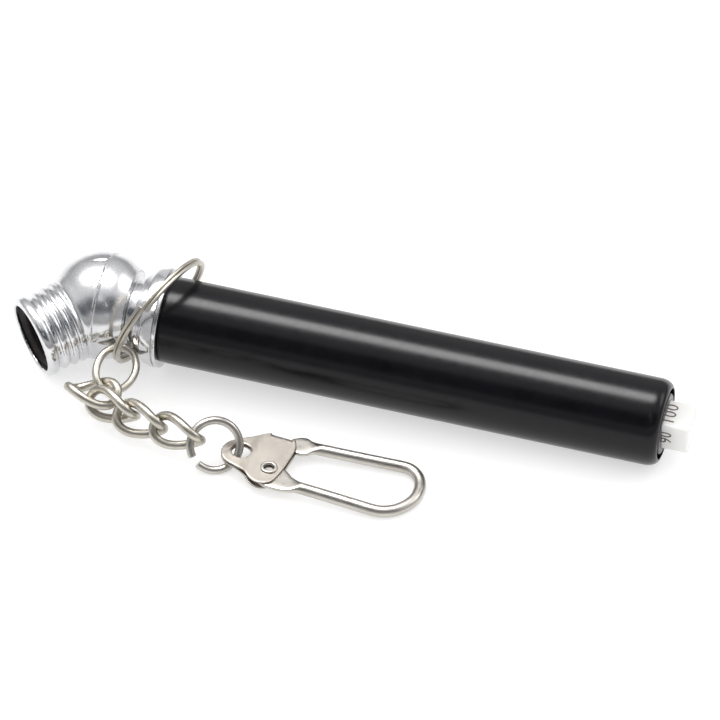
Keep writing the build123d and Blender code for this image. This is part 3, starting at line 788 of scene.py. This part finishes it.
# wire loop with its two hammered ends
gate = [(3.75, -2.2, 0.9, .31, 4), (4.2, -2.4, 1.7, .32, 5), (5.0, -2.75, 2.2, .33, 5), (6.0, -3.0, 2.25, .33, 5), (7.0, -3.3, 1.95, .33, 5),
        (7.9, -3.5, 1.62, .34, 4.5), (8.8, -3.52, 1.28, .38, 4), (9.5, -3.5, 0.98, .56, 2.8), (10.2, -3.5, 0.86, .80, 2.1), (11.0, -3.5, .85, .85, 2),
        (13, -3.52, .85, .85, 2), (16, -3.57, .85, .85, 2), (19, -3.63, .85, .85, 2), (20.9, -3.65, .85, .85, 2), (22.2, -3.45, .85, .85, 2),
        (23.4, -2.85, .85, .85, 2), (24.35, -1.95, .85, .85, 2), (25.15, -0.75, .85, .85, 2), (25.62, 0.5, .85, .85, 2), (25.74, 1.6, .85, .85, 2),
        (25.6, 3.1, .85, .85, 2), (25.1, 4.4, .85, .85, 2), (24.3, 5.35, .85, .85, 2), (23.2, 5.95, .85, .85, 2), (21.9, 6.02, .85, .85, 2),
        (19, 5.7, .85, .85, 2), (16, 5.38, .85, .85, 2), (13, 5.06, .85, .85, 2), (11.0, 4.86, .85, .85, 2), (10.2, 4.78, .86, .80, 2.1),
        (9.5, 4.7, 0.95, .58, 2.6), (8.9, 4.6, 1.15, .42, 3.4), (8.35, 4.47, 1.52, .35, 4.5), (7.7, 4.35, 1.68, .33, 5), (7.0, 4.15, 1.55, .33, 6), (6.5, 4.0, 1.30, .33, 8), (6.25, 3.9, 1.15, .33, 8)]
gate = smooth_loop(gate, 260, closed=False)
v, f = sweep(np.c_[gate[:, :2], np.zeros(len(gate))], lambda k: superellipse(gate[k, 2], gate[k, 3], gate[k, 4], 36), up=(0, 0, 1))
build("clip_loop_wire", put(PL, v), f, WIRE, "clip_gate", "clip_gate", sharp=0)

# ------------------------------------------------------------------ floor, light, camera
fl = bpy.data.meshes.new("floor")
fl.from_pydata([(-3, -3, 0), (3, -3, 0), (3, 3, 0), (-3, 3, 0)], [], [(0, 1, 2, 3)])
floor = bpy.data.objects.new("floor", fl)
bpy.context.scene.collection.objects.link(floor)
m = Mat("floor_white").set(Specular_IOR_Level=0.1, Emission_Color=(1, 1, 1, 1), Emission_Strength=0.50)
# the floor colour is painted lighter round the object and darker far from it, a painted pool of light; the emission
# makes the whole floor glow evenly
dist = m.n.new("ShaderNodeVectorMath"); dist.operation = "LENGTH"
m.l.new(m.co, dist.inputs[0])
painted_light_pool = m.mul(m.remap(dist.outputs["Value"], 0.0, 1.0, 0.16, 0.8), m.mul(m.noise(3, 2), 0.02), "ADD")
m.colour(m.ramp(painted_light_pool, [(0.0, (0.58, 0.58, 0.58)), (0.12, (0.53, 0.53, 0.53)), (1.0, (0.18, 0.18, 0.185))]))
m.rough(m.remap(m.noise(60, 2), 0.55, 0.65))
floor.data.materials.append(m.m)

scene = bpy.context.scene
world = bpy.data.worlds.new("studio")
scene.world = world
world.use_nodes = True
wt = world.node_tree
for n in list(wt.nodes):
    wt.nodes.remove(n)


def wn(kind, **kw):
    n = wt.nodes.new(kind)
    for k, val in kw.items():
        setattr(n, k, val)
    return n


def wmath(op, a, b=None, clamp=False):
    n = wn("ShaderNodeMath", operation=op, use_clamp=clamp)
    for s, val in zip(n.inputs, (a, b)):
        if val is None:
            continue
        if isinstance(val, (int, float)):
            s.default_value = val
        else:
            wt.links.new(val, s)
    return n.outputs[0]


direction = wn("ShaderNodeTexCoord").outputs["Generated"]


def along(vec):
    n = wn("ShaderNodeVectorMath", operation="DOT_PRODUCT")
    wt.links.new(direction, n.inputs[0]); n.inputs[1].default_value = tuple(vec)
    return n.outputs["Value"]


def patch(centre, side, half_w, half_h, soft=0.35):
    """1 inside a soft oval in the sky round centre, 0 outside."""
    c = np.array(centre, float); c /= np.linalg.norm(c)
    r = np.array(side, float); r -= c * (r @ c); r /= np.linalg.norm(r)
    u = np.cross(c, r)
    a = wmath("DIVIDE", along(r), half_w); b = wmath("DIVIDE", along(u), half_h)
    q = wmath("ADD", wmath("POWER", wmath("ABSOLUTE", a), 2.6), wmath("POWER", wmath("ABSOLUTE", b), 2.6))
    front = wmath("GREATER_THAN", along(c), 0.0)
    n = wn("ShaderNodeMapRange", interpolation_type="SMOOTHSTEP")
    n.inputs["From Min"].default_value, n.inputs["From Max"].default_value = 1 - soft, 1 + soft
    n.inputs["To Min"].default_value, n.inputs["To Max"].default_value = 1.0, 0.0
    wt.links.new(q, n.inputs["Value"])
    return wmath("MULTIPLY", n.outputs["Result"], front)


def over(base, colour, mask):
    n = wn("ShaderNodeMix", data_type="RGBA")
    wt.links.new(mask, n.inputs["Factor"])
    wt.links.new(base, n.inputs["A"]); n.inputs["B"].default_value = (*colour, 1)
    return n.outputs["Result"]


def over_even():
    """Even dome, a little brighter from above."""
    n = wn("ShaderNodeMapRange")
    n.inputs["From Min"].default_value, n.inputs["From Max"].default_value = -0.1, 1.0
    n.inputs["To Min"].default_value, n.inputs["To Max"].default_value = 0.72, 1.15
    wt.links.new(along((0, 0, 1)), n.inputs["Value"])
    return n.outputs["Result"]


sky = wn("ShaderNodeValToRGB")
els = sky.color_ramp.elements
stops = [(0.0, 0.5), (0.49, 0.5), (0.51, 0.28), (0.57, 0.40), (0.68, 0.66), (0.85, 0.84), (1.0, 0.88)]
while len(els) < len(stops):
    els.new(0.5)
for e, (p, g) in zip(els, stops):
    e.position, e.color = p, (g, g, g * 1.01, 1)
wt.links.new(wmath("ADD", wmath("MULTIPLY", along((0, 0, 1)), 0.5), 0.5), sky.inputs["Fac"])
look = sky.outputs["Color"]
look = over(look, (0.055, 0.068, 0.085), patch(C_TO, C_RIGHT, 0.72, 0.34, 0.5))
look = over(look, (2.2, 2.2, 2.2), patch((0.10, -0.55, 0.83), C_RIGHT, 0.11, 0.06, 0.5))
look = over(look, (0.9, 0.93, 0.96), patch((0.42, -0.82, 0.38), C_RIGHT, 0.09, 0.05, 0.5))
look = over(look, (14.0, 13.9, 13.8), wmath("POWER", patch((-0.21, 0.235, 0.95), (1, 0, 0), 0.50, 0.24, 0.98), 3.5))
look = over(look, (2.6, 2.6, 2.6), patch((0.68, 0.42, 0.60), (0.53, -0.85, 0), 0.30, 0.22, 0.6))
bg = wn("ShaderNodeBackground")
bg.inputs["Strength"].default_value = 1.0
wt.links.new(look, bg.inputs["Color"])
even = wn("ShaderNodeBackground")
even.inputs["Strength"].default_value = 1.32
wt.links.new(over_even(), even.inputs["Color"])
pick = wn("ShaderNodeMixShader")
wt.links.new(wn("ShaderNodeLightPath").outputs["Is Glossy Ray"], pick.inputs[0])
wt.links.new(even.outputs[0], pick.inputs[1]); wt.links.new(bg.outputs[0], pick.inputs[2])
wt.links.new(pick.outputs[0], wn("ShaderNodeOutputWorld").inputs["Surface"])


def softbox(name, towards, distance, w, h, power, colour=(1, 1, 1), spread=180):
    d = Vector(towards).normalized()
    li = bpy.data.lights.new(name, "AREA")
    li.shape, li.size, li.size_y, li.energy, li.color = "RECTANGLE", w, h, power, colour
    li.spread = math.radians(spread)
    ob = bpy.data.objects.new(name, li)
    ob.location = d * distance
    ob.rotation_euler = d.to_track_quat("Z", "Y").to_euler()
    scene.collection.objects.link(ob)
    return ob


softbox("overhead", (-0.30, 0.16, 0.94), 1.0, 0.60, 0.30, 0.7)
softbox("right_back", (0.68, 0.42, 0.60), 1.0, 0.42, 0.34, 0.35)
softbox("camera_side", (0.33, -0.68, 0.72), 0.9, 0.05, 0.05, 0.05)

cam = bpy.data.cameras.new("camera")
cam.sensor_width, cam.lens = 36.0, 270.6
cam.clip_start, cam.clip_end = 0.05, 20
cam.dof.use_dof = False
co = bpy.data.objects.new("camera", cam)
scene.collection.objects.link(co)
R = Matrix(((C_RIGHT[0], C_UP[0], C_TO[0]), (C_RIGHT[1], C_UP[1], C_TO[1]), (C_RIGHT[2], C_UP[2], C_TO[2]))).to_4x4()
R.normalize()
co.matrix_world = Matrix.Translation((0.1597921, -0.5368834, 0.5267441)) @ R
scene.camera = co
scene.view_settings.view_transform = "Standard"
scene.view_settings.look = "None"
